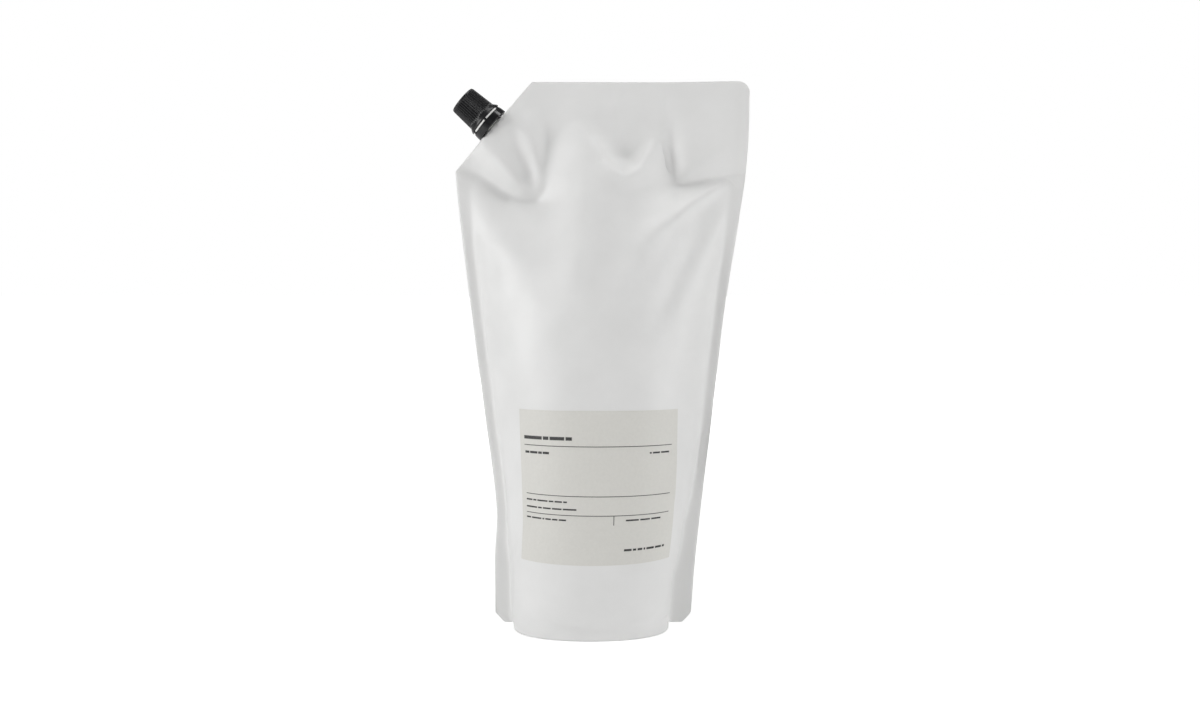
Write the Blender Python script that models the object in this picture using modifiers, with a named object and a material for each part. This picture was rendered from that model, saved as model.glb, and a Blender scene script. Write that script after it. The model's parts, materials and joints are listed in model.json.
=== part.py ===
"""Stand-up refill pouch for liquid soap, with a corner spout and a screw cap.

Frame: metres, +Z up, the front (label) side faces -Y, +X to the right of the front.
The origin is under the middle of the pouch, on the surface that it stands on.
"""

import math

import bmesh
import bpy
from mathutils import Matrix, Vector

# The filled pouch, standing. Heights are above the surface that it stands on.
POUCH_HEIGHT = 0.2886
FILM_PAIR = 0.0006  # both films where they are welded together
SEAL_WIDTH = 0.0085  # welded band down each side
CORNER_SEAL = 0.009  # and along the corner cut
RIGHT_FOOT_SEAL = ((0.0, 0.0045), (0.045, 0.0))  # (height, how much wider the right weld is)
CUT_FOOT = Vector((-0.0764, 0.0, 0.2419))  # lower end of the slanting corner cut
CUT_HEAD = Vector((-0.0358, 0.0, POUCH_HEIGHT))  # upper end of it
TOP_CORNER_RADIUS = 0.0065
FOOT_CHAMFER = 0.0065

# (height, x) of the welded side edges: straight at the foot, then leaning out to the full width.
LEFT_EDGE = (
    (0.0065, -0.0566),
    (0.036, -0.0567),
    (0.062, -0.0556),
    (0.119, -0.0624),
    (0.172, -0.0690),
    (0.226, -0.0751),
    (0.2419, -0.0764),
)
RIGHT_EDGE = (
    (0.0065, 0.0493),
    (0.0387, 0.0518),
    (0.119, 0.0607),
    (0.172, 0.0668),
    (0.226, 0.0750),
    (0.247, 0.0775),
    (0.2821, 0.0783),
)

# (height, half depth) of the filled body on its middle line, and (height, squareness) of its section.
HALF_DEPTH = (
    (0.0, 0.0445),
    (0.020, 0.0460),
    (0.045, 0.0450),
    (0.070, 0.0415),
    (0.100, 0.0362),
    (0.130, 0.0315),
    (0.160, 0.0265),
    (0.190, 0.0200),
    (0.215, 0.0135),
    (0.235, 0.0078),
    (0.252, 0.0032),
    (0.264, 0.0002),
)
ROUND_SECTION = 0.5  # power of the sine: 0.5 is an ellipse, 1 a pointed lens
POINTED_SECTION = 0.95
POINTED_FROM = 0.100
BODY_TOP = 0.264
BODY_LEVELS = 26
RING_POINTS = 48

# The underside: a standing rim, a groove behind it, and the flat where the filled gusset lies.
RIM_WIDTH = 0.0012
GROOVE_DEPTH = 0.0035
GROOVE_WIDTH = 0.0060

# Spout, cap and ring. Distances run out along the spout's axis from the corner cut.
FIT_GAP = 0.0003
BORE_RADIUS = 0.0043
NECK_RADIUS = 0.0058
MOUTH = 0.0192
STOP_RING_RADIUS = 0.0083
STOP_RING = (0.0036, 0.0054)
BOAT_HALF_LENGTH = 0.017
BOAT_HALF_THICKNESS = 0.0052
BOAT_DEPTH = 0.011
BOAT_FILM = 0.0008
CAP_TOP = 0.0215
CAP_FOOT = 0.0052
CAP_INNER_RADIUS = 0.0068
CAP_TOP_RADIUS = 0.0076
CAP_WAIST = 0.0084  # where the ribs end and the skirt flares
CAP_WAIST_RADIUS = 0.0084
SKIRT_RADIUS = 0.00995
RIB_COUNT = 40
RIB_HEIGHT = 0.0003
BAND_RADIUS = 0.01015
BAND = (0.0006, 0.0042)
BRIDGE_COUNT = 6
BRIDGE_SIZE = Vector((0.0008, 0.0012, 0.0010))

# Front label, wrapped on the body.
LABEL_HEIGHTS = (0.0402, 0.1180)
LABEL_HALF_ARC = 0.0445
LABEL_THICKNESS = 0.0002

CUT_ALONG = (CUT_HEAD - CUT_FOOT).normalized()
CUT_OUT = Vector((-CUT_ALONG.z, 0.0, CUT_ALONG.x))
SPOUT_FOOT = (CUT_FOOT + CUT_HEAD) / 2


def clear_scene():
    for obj in list(bpy.data.objects):
        bpy.data.objects.remove(obj, do_unlink=True)


def collection_named(name):
    made = bpy.data.collections.new(name)
    bpy.context.scene.collection.children.link(made)
    return made


def material_named(name, colour, roughness, metallic=0.0):
    made = bpy.data.materials.new(name)
    made.use_nodes = True
    shader = made.node_tree.nodes["Principled BSDF"]
    shader.inputs["Base Color"].default_value = (*colour, 1.0)
    shader.inputs["Roughness"].default_value = roughness
    shader.inputs["Metallic"].default_value = metallic
    return made


def link_mesh(name, mesh, collection):
    obj = bpy.data.objects.new(name, mesh)
    collection.objects.link(obj)
    return obj


def give_material(obj, material):
    obj.data.materials.clear()
    obj.data.materials.append(material)


def evaluated_mesh(obj):
    """The object's mesh with its modifiers, or its curve, worked out."""
    bpy.context.view_layer.update()
    return bpy.data.meshes.new_from_object(obj.evaluated_get(bpy.context.evaluated_depsgraph_get()))


def smooth_between(points, at):
    """Value at a place on the smooth curve through (place, value) points, held past the ends."""
    if at <= points[0][0]:
        return points[0][1]
    if at >= points[-1][0]:
        return points[-1][1]
    i = next(k for k in range(len(points) - 1) if at <= points[k + 1][0])
    (x0, y0), (x1, y1) = points[i], points[i + 1]
    before, after = points[max(i - 1, 0)], points[min(i + 2, len(points) - 1)]
    slope0 = (y1 - before[1]) / (x1 - before[0])
    slope1 = (after[1] - y0) / (after[0] - x0)
    span, t = x1 - x0, (at - x0) / (x1 - x0)
    h00, h10 = 2 * t**3 - 3 * t**2 + 1, t**3 - 2 * t**2 + t
    h01, h11 = -2 * t**3 + 3 * t**2, t**3 - t**2
    return h00 * y0 + h10 * span * slope0 + h01 * y1 + h11 * span * slope1


def loft(name, rings, collection, close_start=True, close_end=True):
    """One closed surface through rings of the same number of points."""
    bm = bmesh.new()
    made = [[bm.verts.new(p) for p in ring] for ring in rings]
    for low, high in zip(made, made[1:]):
        for i in range(len(low)):
            j = (i + 1) % len(low)
            bm.faces.new((low[i], low[j], high[j], high[i]))
    if close_start:
        bm.faces.new(list(reversed(made[0])))
    if close_end:
        bm.faces.new(made[-1])
    bmesh.ops.recalc_face_normals(bm, faces=bm.faces)
    mesh = bpy.data.meshes.new(name)
    bm.to_mesh(mesh)
    bm.free()
    return link_mesh(name, mesh, collection)


def combine(target, other, operation):
    """Applies a Boolean of target with other, and keeps other as a hidden helper."""
    modifier = target.modifiers.new(operation.title(), "BOOLEAN")
    modifier.operation = operation
    modifier.solver = "EXACT"
    modifier.object = other
    mesh = evaluated_mesh(target)
    target.modifiers.clear()
    target.data = mesh
    other.hide_render = True
    other.hide_set(True)


def turned(name, profile, collection, steps=48):
    """A ring of this closed (radius, height) profile, turned about its own Z axis with a Screw."""
    bm = bmesh.new()
    corners = [bm.verts.new((radius, 0.0, height)) for radius, height in profile]
    for a, b in zip(corners, corners[1:] + corners[:1]):
        if a.co.x > 0.0 or b.co.x > 0.0:
            bm.edges.new((a, b))
    mesh = bpy.data.meshes.new(name)
    bm.to_mesh(mesh)
    bm.free()
    obj = link_mesh(name, mesh, collection)
    screw = obj.modifiers.new("Turn", "SCREW")
    screw.steps = screw.render_steps = steps
    screw.use_merge_vertices = True
    screw.merge_threshold = 0.00001
    obj.data = evaluated_mesh(obj)
    obj.modifiers.clear()
    return obj


def cylinder(name, radius, depth):
    """A plain drum about its own Z axis, used as a cutter."""
    bpy.ops.mesh.primitive_cylinder_add(vertices=48, radius=radius, depth=depth)
    bpy.context.object.name = name
    return bpy.context.object


def spout_matrix():
    """From a fitting's own axes, +Z out along the spout, to the frame."""
    turn = Matrix((CUT_ALONG, Vector((0.0, 1.0, 0.0)), CUT_OUT)).transposed().to_4x4()
    return Matrix.Translation(SPOUT_FOOT) @ turn


def place_on_spout(obj):
    obj.matrix_world = spout_matrix()


# ---------------------------------------------------------------- pouch


def sheet_outline():
    """The flat outline of the welded films as (x, z), from the foot's left corner round by the top."""
    foot_left, foot_right = LEFT_EDGE[0], RIGHT_EDGE[0]
    outline = [(foot_left[1] + FOOT_CHAMFER * 0.8, 0.0)]
    for k in range(19):
        height = foot_left[0] + (LEFT_EDGE[-1][0] - foot_left[0]) * k / 18
        outline.append((smooth_between(LEFT_EDGE, height), height))
    outline.append((CUT_HEAD.x, CUT_HEAD.z))
    centre = Vector((RIGHT_EDGE[-1][1] - TOP_CORNER_RADIUS, POUCH_HEIGHT - TOP_CORNER_RADIUS))
    for k in range(7):
        angle = math.pi / 2 * (1 - k / 6)
        outline.append(tuple(centre + TOP_CORNER_RADIUS * Vector((math.cos(angle), math.sin(angle)))))
    for k in range(1, 20):
        height = RIGHT_EDGE[-1][0] + (foot_right[0] - RIGHT_EDGE[-1][0]) * k / 19
        outline.append((smooth_between(RIGHT_EDGE, height), height))
    outline.append((foot_right[1] - FOOT_CHAMFER * 0.8, 0.0))
    return outline


def welded_sheet(collection):
    """The two films welded flat together: a flat outline given its thickness."""
    curve = bpy.data.curves.new("sheet_outline", "CURVE")
    curve.dimensions = "2D"
    curve.fill_mode = "BOTH"
    curve.extrude = FILM_PAIR / 2
    outline = sheet_outline()
    spline = curve.splines.new("POLY")
    spline.points.add(len(outline) - 1)
    for point, (x, z) in zip(spline.points, outline):
        point.co = (x, z, 0.0, 1.0)
    spline.use_cyclic_u = True
    obj = bpy.data.objects.new("sheet_outline", curve)
    collection.objects.link(obj)
    mesh = evaluated_mesh(obj)
    mesh.transform(Matrix.Rotation(math.pi / 2, 4, "X"))
    bpy.data.objects.remove(obj, do_unlink=True)
    bm = bmesh.new()
    bm.from_mesh(mesh)
    bmesh.ops.remove_doubles(bm, verts=bm.verts, dist=0.00001)
    bmesh.ops.recalc_face_normals(bm, faces=bm.faces)
    bm.to_mesh(mesh)
    bm.free()
    return mesh


def section_at(height):
    """Middle x, half width, half depth and sine power of the filled body's section."""
    corner = CUT_FOOT.x + (height - CUT_FOOT.z) * CUT_ALONG.x / CUT_ALONG.z + CORNER_SEAL / CUT_ALONG.z
    low = max(smooth_between(LEFT_EDGE, height) + SEAL_WIDTH, corner)
    high = smooth_between(RIGHT_EDGE, height) - SEAL_WIDTH - smooth_between(RIGHT_FOOT_SEAL, height)
    share = min(max((height - POINTED_FROM) / (BODY_TOP - POINTED_FROM), 0.0), 1.0)
    power = ROUND_SECTION + (POINTED_SECTION - ROUND_SECTION) * share
    return (low + high) / 2, (high - low) / 2, smooth_between(HALF_DEPTH, height), power


def section_point(height, angle, inset=0.0):
    """A point of the body's surface: angle 0 is at the right weld, -90 degrees on the front."""
    middle, half_width, half_depth, power = section_at(height)
    sine = math.sin(angle)
    x = middle + (half_width - inset) * math.cos(angle)
    y = math.copysign((half_depth - inset) * abs(sine) ** (2 * power), sine) if abs(sine) > 1e-9 else 0.0
    return Vector((x, y, height))


def body_ring(height, inset=0.0, rise=0.0):
    step = 2 * math.pi / RING_POINTS
    return [section_point(height, k * step, inset) + Vector((0.0, 0.0, rise)) for k in range(RING_POINTS)]


def filled_body(collection):
    """The soap-filled part: sections that change from a round base to a flat wedge under the top weld."""
    underside = [
        body_ring(0.0, inset=RIM_WIDTH + GROOVE_WIDTH),
        body_ring(0.0, inset=RIM_WIDTH + GROOVE_WIDTH * 0.5, rise=GROOVE_DEPTH),
        body_ring(0.0, inset=RIM_WIDTH, rise=GROOVE_DEPTH),
        body_ring(0.0, inset=RIM_WIDTH * 0.5),
    ]
    levels = [BODY_TOP * k / BODY_LEVELS for k in range(BODY_LEVELS + 1)]
    return loft("filled_body", underside + [body_ring(height) for height in levels], collection)


def lens_ring(depth, half_length, half_thickness, points=24):
    """A pointed oval across the corner cut, this deep inside the pouch."""
    ring = []
    for k in range(points):
        angle = 2 * math.pi * k / points
        along = half_length * math.cos(angle)
        across = half_thickness * math.copysign(abs(math.sin(angle)) ** 1.3, math.sin(angle))
        ring.append(SPOUT_FOOT + CUT_ALONG * along - CUT_OUT * depth + Vector((0.0, across, 0.0)))
    return ring


def spout_blister(collection):
    """The films pushed apart round the spout's base, running out into the filled body."""
    length, thickness = BOAT_HALF_LENGTH + BOAT_FILM * 2.5, BOAT_HALF_THICKNESS + BOAT_FILM
    rings = [
        lens_ring(FIT_GAP, length, thickness),
        lens_ring(BOAT_DEPTH, length, thickness),
        lens_ring(BOAT_DEPTH * 1.8, length * 0.9, thickness * 0.94),
        lens_ring(BOAT_DEPTH * 2.8, length * 0.8, thickness * 0.9),
        lens_ring(BOAT_DEPTH * 4.0, length * 0.7, thickness * 0.8),
    ]
    return loft("spout_blister", rings, collection)


def make_pouch(collection, helpers, material):
    pouch = link_mesh("pouch", welded_sheet(collection), collection)
    combine(pouch, filled_body(helpers), "UNION")
    combine(pouch, spout_blister(helpers), "UNION")
    pocket = loft(
        "spout_pocket",
        [
            lens_ring(-0.002, BOAT_HALF_LENGTH + FIT_GAP, BOAT_HALF_THICKNESS + FIT_GAP),
            lens_ring(BOAT_DEPTH + FIT_GAP, BOAT_HALF_LENGTH + FIT_GAP, BOAT_HALF_THICKNESS + FIT_GAP),
        ],
        helpers,
    )
    combine(pouch, pocket, "DIFFERENCE")
    give_material(pouch, material)


# ---------------------------------------------------------------- spout, cap and ring


def make_spout(collection, helpers, material):
    """Neck with its stop ring, on the boat-shaped base that the films are welded to."""
    neck = turned(
        "spout",
        [
            (BORE_RADIUS, MOUTH),
            (NECK_RADIUS - 0.0004, MOUTH),
            (NECK_RADIUS, MOUTH - 0.0005),
            (NECK_RADIUS, STOP_RING[1]),
            (STOP_RING_RADIUS, STOP_RING[1]),
            (STOP_RING_RADIUS, STOP_RING[0] + 0.0006),
            (NECK_RADIUS + 0.0002, STOP_RING[0]),
            (NECK_RADIUS + 0.0002, FIT_GAP),
            (BORE_RADIUS + 0.0005, -FIT_GAP),
            (BORE_RADIUS + 0.0005, -BOAT_DEPTH * 0.8),
            (BORE_RADIUS, -BOAT_DEPTH * 0.8),
        ],
        collection,
    )
    rings = [lens_ring(depth, BOAT_HALF_LENGTH, BOAT_HALF_THICKNESS) for depth in (0.0002, BOAT_DEPTH)]
    boat = loft("boat", rings, helpers)
    boat.data.transform(spout_matrix().inverted())
    combine(neck, boat, "UNION")
    combine(neck, cylinder("bore", BORE_RADIUS, 0.06), "DIFFERENCE")
    give_material(neck, material)
    place_on_spout(neck)


def ribbed_cone(name, foot, head, foot_radius, head_radius, collection):
    """A tapering drum with small ribs all round, from a cone with four sides to each rib."""
    bm = bmesh.new()
    segments = RIB_COUNT * 4
    bmesh.ops.create_cone(
        bm, cap_ends=True, segments=segments, radius1=foot_radius, radius2=head_radius, depth=head - foot
    )
    for vert in bm.verts:
        turn = math.atan2(vert.co.y, vert.co.x) / (2 * math.pi) * segments
        if round(turn) % 4 in (1, 2):
            vert.co.xy *= 1 + RIB_HEIGHT / vert.co.xy.length
    bmesh.ops.translate(bm, verts=bm.verts, vec=(0.0, 0.0, (foot + head) / 2))
    mesh = bpy.data.meshes.new(name)
    bm.to_mesh(mesh)
    bm.free()
    return link_mesh(name, mesh, collection)


def make_cap(collection, helpers, material):
    """Hollow screw cap: smooth shell with a flared skirt, and ribs round its grip."""
    cap = turned(
        "cap",
        [
            (CAP_TOP_RADIUS - 0.0006, CAP_TOP),
            (CAP_TOP_RADIUS, CAP_TOP - 0.0006),
            (CAP_WAIST_RADIUS, CAP_WAIST),
            (SKIRT_RADIUS - 0.0003, CAP_FOOT + 0.0014),
            (SKIRT_RADIUS, CAP_FOOT + 0.0009),
            (SKIRT_RADIUS, CAP_FOOT),
            (STOP_RING_RADIUS + 0.0006, CAP_FOOT),
            (STOP_RING_RADIUS + 0.0006, CAP_FOOT + 0.0008),
            (CAP_INNER_RADIUS, CAP_FOOT + 0.0026),
            (CAP_INNER_RADIUS, MOUTH + FIT_GAP),
            (BORE_RADIUS - 0.0003, MOUTH + FIT_GAP),
            (BORE_RADIUS - 0.0005, MOUTH - 0.0014),
            (BORE_RADIUS - 0.0013, MOUTH - 0.0014),
            (BORE_RADIUS - 0.0013, MOUTH + 0.0008),
            (0.0, MOUTH + 0.0008),
            (0.0, CAP_TOP),
        ],
        collection,
    )
    grip = ribbed_cone("grip", CAP_WAIST, CAP_TOP - 0.0010, CAP_WAIST_RADIUS, CAP_TOP_RADIUS, helpers)
    combine(grip, cylinder("grip_hollow", (CAP_TOP_RADIUS + CAP_INNER_RADIUS) / 2, 0.08), "DIFFERENCE")
    combine(cap, grip, "UNION")
    give_material(cap, material)
    place_on_spout(cap)


def make_tamper_ring(collection, material):
    """Ring left on the neck when the cap is first opened, with the stubs of its snapping bridges."""
    ring = turned(
        "tamper_ring",
        [
            (BAND_RADIUS - 0.0002, BAND[1]),
            (BAND_RADIUS, BAND[1] - 0.0004),
            (BAND_RADIUS, BAND[0]),
            (NECK_RADIUS + 0.0008, BAND[0]),
            (NECK_RADIUS + 0.0008, BAND[0] + 0.0018),
            (STOP_RING_RADIUS + 0.0003, BAND[0] + 0.0026),
            (STOP_RING_RADIUS + 0.0003, BAND[1]),
        ],
        collection,
    )
    for k in range(BRIDGE_COUNT):
        angle = 2 * math.pi * (k + 0.5) / BRIDGE_COUNT
        bpy.ops.mesh.primitive_cube_add(size=1.0)
        stub = bpy.context.object
        stub.name = f"bridge_{k + 1}"
        stub.data.transform(Matrix.Diagonal((*BRIDGE_SIZE, 1.0)))
        reach = (STOP_RING_RADIUS + BAND_RADIUS) / 2 + 0.0002
        height = CAP_FOOT - FIT_GAP - BRIDGE_SIZE.z / 2
        stub.data.transform(Matrix.Rotation(angle, 4, "Z") @ Matrix.Translation((reach, 0.0, height)))
        combine(ring, stub, "UNION")
    give_material(ring, material)
    place_on_spout(ring)


# ---------------------------------------------------------------- label


def arc_angles(height, count):
    """Angles on the section whose points lie evenly along the label's width, left to right."""
    fine = [math.radians(-175 + 170 * k / 400) for k in range(401)]
    points = [section_point(height, angle) for angle in fine]
    run = [0.0]
    for a, b in zip(points, points[1:]):
        run.append(run[-1] + (b - a).length)
    middle = smooth_between([(angle, along) for angle, along in zip(fine, run)], -math.pi / 2)
    wanted = [middle + LABEL_HALF_ARC * (2 * k / (count - 1) - 1) for k in range(count)]
    return [smooth_between(list(zip(run, fine)), along) for along in wanted]


def make_label(collection, material):
    """The label: the body's own surface stood off by the fitting gap, then given its thickness."""
    across, up = 17, 9
    bm = bmesh.new()
    rows = []
    for j in range(up):
        height = LABEL_HEIGHTS[0] + (LABEL_HEIGHTS[1] - LABEL_HEIGHTS[0]) * j / (up - 1)
        rows.append([bm.verts.new(section_point(height, angle)) for angle in arc_angles(height, across)])
    for low, high in zip(rows, rows[1:]):
        for i in range(across - 1):
            bm.faces.new((low[i], low[i + 1], high[i + 1], high[i]))
    bm.normal_update()
    for vert in bm.verts:
        vert.co += vert.normal * (FIT_GAP * 2)
    mesh = bpy.data.meshes.new("front_label")
    bm.to_mesh(mesh)
    bm.free()
    label = link_mesh("front_label", mesh, collection)
    give_material(label, material)
    wall = label.modifiers.new("Thickness", "SOLIDIFY")
    wall.thickness = LABEL_THICKNESS
    wall.offset = 1.0


def main():
    clear_scene()
    parts = collection_named("refill_pouch")
    helpers = collection_named("cutters")
    film = material_named("white_film", (0.80, 0.80, 0.79), 0.42)
    black = material_named("black_plastic", (0.018, 0.018, 0.019), 0.38)
    natural = material_named("natural_plastic", (0.82, 0.82, 0.80), 0.35)
    paper = material_named("label_paper", (0.62, 0.61, 0.57), 0.55)
    make_pouch(parts, helpers, film)
    make_label(parts, paper)
    make_spout(parts, helpers, natural)
    make_tamper_ring(parts, black)
    make_cap(parts, helpers, black)
    for obj in parts.objects:
        obj.data.shade_smooth()
        obj.data.set_sharp_from_angle(angle=math.radians(35))


if __name__ == "__main__":
    main()
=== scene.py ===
"""Looks of a filled soap refill pouch: soft film, sticker label, spout, tamper ring and screw cap.

Everything is in metres in the frame's axes: +Z up, the label faces -Y. Flat pattern coordinates
(across, up) are places on the film before it was filled.
"""

import json
import logging
import math
from dataclasses import dataclass, field
from enum import Enum

import bmesh
import bpy
import numpy as np
from mathutils import Matrix, Vector
from mathutils.bvhtree import BVHTree
from mathutils.geometry import barycentric_transform

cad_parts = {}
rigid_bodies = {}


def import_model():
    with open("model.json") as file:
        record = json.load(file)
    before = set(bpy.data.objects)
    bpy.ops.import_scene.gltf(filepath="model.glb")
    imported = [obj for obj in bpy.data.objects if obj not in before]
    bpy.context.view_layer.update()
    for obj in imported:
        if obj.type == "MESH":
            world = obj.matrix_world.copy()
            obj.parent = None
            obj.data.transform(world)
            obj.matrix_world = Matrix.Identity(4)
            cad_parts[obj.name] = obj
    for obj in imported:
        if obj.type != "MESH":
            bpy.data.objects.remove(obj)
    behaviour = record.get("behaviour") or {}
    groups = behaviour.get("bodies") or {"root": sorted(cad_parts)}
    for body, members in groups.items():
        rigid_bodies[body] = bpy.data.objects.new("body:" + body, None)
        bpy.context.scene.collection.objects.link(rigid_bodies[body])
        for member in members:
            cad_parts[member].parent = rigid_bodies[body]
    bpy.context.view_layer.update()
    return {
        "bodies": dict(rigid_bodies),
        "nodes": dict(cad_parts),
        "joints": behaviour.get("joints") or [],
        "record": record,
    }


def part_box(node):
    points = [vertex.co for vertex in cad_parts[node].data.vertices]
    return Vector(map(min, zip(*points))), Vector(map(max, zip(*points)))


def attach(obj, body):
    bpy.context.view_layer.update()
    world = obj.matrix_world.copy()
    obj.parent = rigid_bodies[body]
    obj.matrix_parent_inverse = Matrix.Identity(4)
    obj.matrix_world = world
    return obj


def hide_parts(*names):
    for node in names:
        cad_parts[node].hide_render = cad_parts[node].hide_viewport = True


LOG = logging.getLogger("refill_pouch")
PACK, CAP = "pack", "cap"

Point = tuple[float, float]
Colour = tuple[float, float, float]
Box = tuple[float, float, float, float]

# A Mix node's sockets when it mixes colours.
MIX_FACTOR, MIX_FIRST, MIX_SECOND, MIX_RESULT = 0, 6, 7, 2


class Side(Enum):
    """The pouch's two films, by the way that each one faces along Y."""

    FRONT = -1.0
    BACK = 1.0


# ------------------------------------------------------------------ small helpers


def ease(low: float, high: float, value: float) -> float:
    """Smooth step from 0 at low to 1 at high."""
    share = min(max((value - low) / (high - low), 0.0), 1.0)
    return share * share * (3.0 - 2.0 * share)


def curve_value(points: tuple[Point, ...], at: float) -> float:
    """Value of a smooth curve through points.

    Args:
        points: (place, value) pairs in rising order of place.
        at: The place wanted; past the ends the end values hold.

    Returns:
        The value there.
    """
    if at <= points[0][0]:
        return points[0][1]
    if at >= points[-1][0]:
        return points[-1][1]
    i = next(k for k in range(len(points) - 1) if at <= points[k + 1][0])
    (x0, y0), (x1, y1) = points[i], points[i + 1]
    before, after = points[max(i - 1, 0)], points[min(i + 2, len(points) - 1)]
    slope0 = (y1 - before[1]) / (x1 - before[0])
    slope1 = (after[1] - y0) / (after[0] - x0)
    span, t = x1 - x0, (at - x0) / (x1 - x0)
    start = (2 * t**3 - 3 * t**2 + 1) * y0 + (t**3 - 2 * t**2 + t) * span * slope0
    return start + (3 * t**2 - 2 * t**3) * y1 + (t**3 - t**2) * span * slope1


def mesh_object(
    name: str, bm: bmesh.types.BMesh, material: bpy.types.Material, smooth_below: float = 40.0
) -> bpy.types.Object:
    """Turns a bmesh into a linked object with one material.

    Args:
        name: Object name.
        bm: The mesh, which is freed.
        material: Its finish.
        smooth_below: Edges sharper than this many degrees stay hard.

    Returns:
        The new object, at the origin.
    """
    mesh = bpy.data.meshes.new(name)
    bm.to_mesh(mesh)
    bm.free()
    obj = bpy.data.objects.new(name, mesh)
    bpy.context.scene.collection.objects.link(obj)
    mesh.materials.append(material)
    mesh.shade_smooth()
    mesh.set_sharp_from_angle(angle=math.radians(smooth_below))
    return obj


def fasten(obj: bpy.types.Object, body: str, slot: str, *nodes: str) -> None:
    """Rides a piece on its body, and hides the CAD nodes that it stands for.

    Args:
        obj: The finished piece.
        body: Body that carries it.
        slot: Material slot in the record; not used.
        *nodes: CAD nodes that it replaces.
    """
    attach(obj, body)
    if nodes:
        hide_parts(*nodes)
    LOG.info("%s: %d faces", obj.name, len(obj.data.polygons))


# ------------------------------------------------------------------ finishes


class Shader:
    """A Principled material and the few node chains that the finishes need."""

    def __init__(self, name: str, colour: Colour, roughness: float) -> None:
        """Starts a material with one colour and roughness."""
        self.material = bpy.data.materials.new(name)
        self.material.use_nodes = True
        self.tree = self.material.node_tree
        self.principled = self.tree.nodes["Principled BSDF"]
        self.put("Base Color", (*colour, 1.0))
        self.put("Roughness", roughness)

    def put(self, socket: str, value: float | tuple[float, ...]) -> None:
        """Sets a constant on the Principled shader's own socket."""
        self.principled.inputs[socket].default_value = value

    def link(self, output: bpy.types.NodeSocket, target: bpy.types.NodeSocket) -> None:
        """Links two sockets."""
        self.tree.links.new(output, target)

    def node(self, kind: str, **values: float) -> bpy.types.Node:
        """Adds a node and sets its inputs by name.

        Args:
            kind: Node type, such as ShaderNodeTexNoise.
            **values: Input values, with underscores for spaces.

        Returns:
            The node.
        """
        made = self.tree.nodes.new(kind)
        for name, value in values.items():
            made.inputs[name.replace("_", " ")].default_value = value
        return made

    def noise(self, scale: float, detail: float) -> bpy.types.NodeSocket:
        """Noise on object coordinates, in cycles per metre.

        Args:
            scale: Cycles per metre.
            detail: Octaves.

        Returns:
            The noise factor socket.
        """
        place = self.tree.nodes.new("ShaderNodeTexCoord")
        noise = self.node("ShaderNodeTexNoise", Scale=scale, Detail=detail)
        self.link(place.outputs["Object"], noise.inputs["Vector"])
        return noise.outputs["Fac"]

    def ramp(
        self, factor: bpy.types.NodeSocket, low: float, high: float, span: Point = (0.3, 0.7)
    ) -> bpy.types.NodeSocket:
        """Maps a factor to a range of values.

        Args:
            factor: The input factor.
            low: Value at the span's start.
            high: Value at its end.
            span: Factor values that the range covers.

        Returns:
            The mapped value socket.
        """
        mapped = self.node("ShaderNodeMapRange")
        mapped.inputs["From Min"].default_value, mapped.inputs["From Max"].default_value = span
        mapped.inputs["To Min"].default_value, mapped.inputs["To Max"].default_value = low, high
        self.link(factor, mapped.inputs["Value"])
        return mapped.outputs["Result"]

    def blend(
        self, factor: bpy.types.NodeSocket, first: Colour | bpy.types.NodeSocket, second: Colour
    ) -> bpy.types.NodeSocket:
        """Mixes two colours.

        Args:
            factor: Gives the share of the second colour.
            first: Colour at 0, or the socket that gives it.
            second: Colour at 1.

        Returns:
            The mixed colour's socket.
        """
        mix = self.tree.nodes.new("ShaderNodeMix")
        mix.data_type = "RGBA"
        if isinstance(first, bpy.types.NodeSocket):
            self.link(first, mix.inputs[MIX_FIRST])
        else:
            mix.inputs[MIX_FIRST].default_value = (*first, 1.0)
        mix.inputs[MIX_SECOND].default_value = (*second, 1.0)
        self.link(factor, mix.inputs[MIX_FACTOR])
        return mix.outputs[MIX_RESULT]

    def bump(self, heights: list[tuple[bpy.types.NodeSocket, float]]) -> None:
        """Chains height fields into the shader's normal.

        Args:
            heights: (height socket, depth in metres) for each layer.
        """
        normal = None
        for height, depth in heights:
            made = self.node("ShaderNodeBump", Strength=1.0, Distance=depth)
            self.link(height, made.inputs["Height"])
            if normal is not None:
                self.link(normal, made.inputs["Normal"])
            normal = made.outputs["Normal"]
        self.link(normal, self.principled.inputs["Normal"])


@dataclass(frozen=True)
class FilmFinish:
    """Satin white laminate with faint clouding; its welds are a little greyer and flatter."""

    film: Colour = (0.735, 0.735, 0.728)
    clouded: Colour = (0.775, 0.775, 0.768)
    weld: Colour = (0.745, 0.745, 0.737)
    roughness: Point = (0.36, 0.46)
    specular: float = 0.45
    dimple_depth: float = 0.00016
    grain_depth: float = 0.000012

    def material(self) -> bpy.types.Material:
        """Builds the film's material."""
        shader = Shader("pouch_film", self.film, self.roughness[0])
        cloudy = shader.ramp(shader.noise(scale=38.0, detail=3.0), 0.0, 1.0)
        welded = shader.tree.nodes.new("ShaderNodeAttribute")
        welded.attribute_name = "weld"
        tone = shader.blend(welded.outputs["Fac"], shader.blend(cloudy, self.film, self.clouded), self.weld)
        shader.link(tone, shader.principled.inputs["Base Color"])
        sheen = shader.ramp(shader.noise(scale=60.0, detail=4.0), *self.roughness)
        shader.link(sheen, shader.principled.inputs["Roughness"])
        shader.put("Specular IOR Level", self.specular)
        shader.bump([
            (shader.noise(scale=90.0, detail=2.0), self.dimple_depth),
            (shader.noise(scale=900.0, detail=3.0), self.grain_depth),
        ])
        return shader.material


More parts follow.
